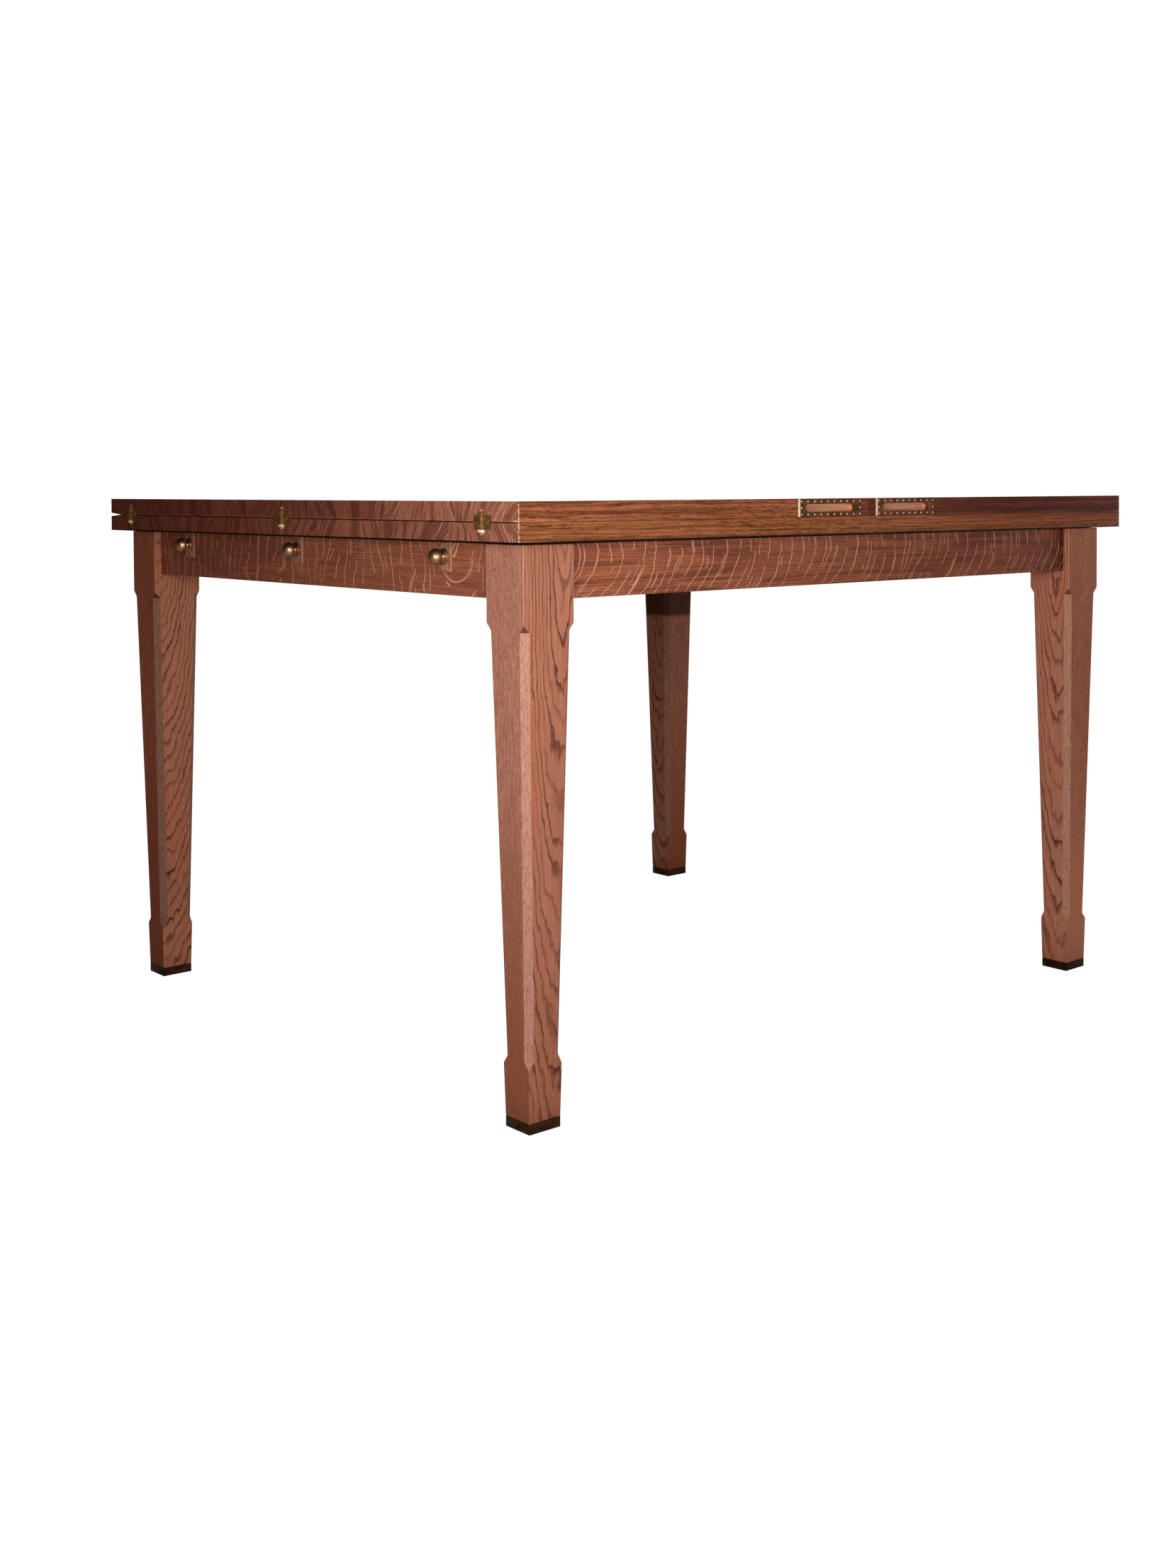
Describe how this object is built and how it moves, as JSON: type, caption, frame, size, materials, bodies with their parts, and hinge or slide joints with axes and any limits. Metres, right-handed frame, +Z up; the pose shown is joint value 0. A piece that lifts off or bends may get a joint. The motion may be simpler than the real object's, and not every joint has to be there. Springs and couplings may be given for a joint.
{
  "type": "gaming table",
  "caption": "Oak gaming table: four tapered legs on brass shoes, fold-over top in two hinged leaves, pull-out lopers with brass knobs that hold the opened leaves, baize playing field.",
  "frame": {"origin": "on the floor, under the middle of the top", "axes": "+Z up, +X along the long side of the closed top, from one hinged end to the other, +Y along the short ends"},
  "size_m": [1.2028, 1.1002, 0.762],
  "materials": {
    "top_oak": "red-brown stained oak, satin lacquer",
    "apron_oak": "red-brown stained quartered oak with ray flecks, satin lacquer",
    "leg_oak": "red-brown stained oak, satin lacquer",
    "inner_oak": "unstained oak, bare",
    "aged_brass": "dark aged brass",
    "hinge_brass": "satin brass",
    "polished_brass": "polished antique brass",
    "steel": "plain",
    "black_felt": "black felt strip",
    "baize": "woven wool baize"
  },
  "bodies": {
    "table_frame": {"leg_front_left": "leg_oak", "leg_back_left": "leg_oak", "leg_front_right": "leg_oak", "leg_back_right": "leg_oak", "foot_shoes": "aged_brass", "foot_shoe_screws": "steel", "apron_front": "apron_oak", "apron_back": "apron_oak", "apron_left": "apron_oak", "apron_right": "apron_oak", "corner_brace_front_left": "inner_oak", "corner_brace_back_left": "inner_oak", "corner_brace_front_right": "inner_oak", "corner_brace_back_right": "inner_oak", "leg_bolts": "steel", "loper_ledger_left": "inner_oak", "loper_ledger_right": "inner_oak", "centre_rail": "inner_oak", "loper_channel_front": "inner_oak", "loper_channel_middle": "inner_oak", "loper_channel_back": "inner_oak", "packing_strips": "black_felt", "top_buttons": "inner_oak", "top_button_screws": "steel", "fixed_top": "top_oak", "baize": "baize", "hinge_halves_top_left": "hinge_brass", "hinge_pins_left": "steel", "hinge_halves_top_right": "hinge_brass", "hinge_pins_right": "steel"},
    "left_leaf": {"leaf_left": "top_oak", "hinge_halves_leaf_left": "hinge_brass", "pull_plate_left_front": "aged_brass", "pull_plate_left_back": "aged_brass", "pull_pins_left": "polished_brass"},
    "left_straps": {"hinge_straps_left": "hinge_brass"},
    "left_front_loper": {"loper_left_front": "apron_oak", "knob_left_front": "polished_brass", "stop_pin_left_front": "inner_oak"},
    "left_middle_loper": {"loper_left_middle": "apron_oak", "knob_left_middle": "polished_brass", "stop_pin_left_middle": "inner_oak"},
    "left_back_loper": {"loper_left_back": "apron_oak", "knob_left_back": "polished_brass", "stop_pin_left_back": "inner_oak"},
    "right_leaf": {"leaf_right": "top_oak", "hinge_halves_leaf_right": "hinge_brass", "pull_plate_right_front": "aged_brass", "pull_plate_right_back": "aged_brass", "pull_pins_right": "polished_brass"},
    "right_straps": {"hinge_straps_right": "hinge_brass"},
    "right_front_loper": {"loper_right_front": "apron_oak", "knob_right_front": "polished_brass", "stop_pin_right_front": "inner_oak"},
    "right_middle_loper": {"loper_right_middle": "apron_oak", "knob_right_middle": "polished_brass", "stop_pin_right_middle": "inner_oak"},
    "right_back_loper": {"loper_right_back": "apron_oak", "knob_right_back": "polished_brass", "stop_pin_right_back": "inner_oak"}
  },
  "joints": [
    {"name": "left_leaf_fold", "type": "hinge", "parent": "table_frame", "child": "left_leaf", "pos_m": [-0.59715, 0, 0.737], "axis": [0, -1, 0], "range_deg": [0, 180]},
    {"name": "left_strap_swing", "type": "hinge", "parent": "table_frame", "child": "left_straps", "pos_m": [-0.59715, 0, 0.737], "axis": [0, -1, 0], "range_deg": [0, 90]},
    {"name": "left_front_loper_slide", "type": "slide", "parent": "table_frame", "child": "left_front_loper", "axis": [-1, 0, 0], "range_m": [0, 0.35]},
    {"name": "left_middle_loper_slide", "type": "slide", "parent": "table_frame", "child": "left_middle_loper", "axis": [-1, 0, 0], "range_m": [0, 0.5]},
    {"name": "left_back_loper_slide", "type": "slide", "parent": "table_frame", "child": "left_back_loper", "axis": [-1, 0, 0], "range_m": [0, 0.35]},
    {"name": "right_leaf_fold", "type": "hinge", "parent": "table_frame", "child": "right_leaf", "pos_m": [0.59715, 0, 0.737], "axis": [0, 1, 0], "range_deg": [0, 180]},
    {"name": "right_strap_swing", "type": "hinge", "parent": "table_frame", "child": "right_straps", "pos_m": [0.59715, 0, 0.737], "axis": [0, 1, 0], "range_deg": [0, 90]},
    {"name": "right_front_loper_slide", "type": "slide", "parent": "table_frame", "child": "right_front_loper", "axis": [1, 0, 0], "range_m": [0, 0.35]},
    {"name": "right_middle_loper_slide", "type": "slide", "parent": "table_frame", "child": "right_middle_loper", "axis": [1, 0, 0], "range_m": [0, 0.5]},
    {"name": "right_back_loper_slide", "type": "slide", "parent": "table_frame", "child": "right_back_loper", "axis": [1, 0, 0], "range_m": [0, 0.35]}
  ],
  "couplings": [
    {"joint": "left_strap_swing", "follows": "left_leaf_fold", "ratio": 0.5},
    {"joint": "right_strap_swing", "follows": "right_leaf_fold", "ratio": 0.5}
  ]
}
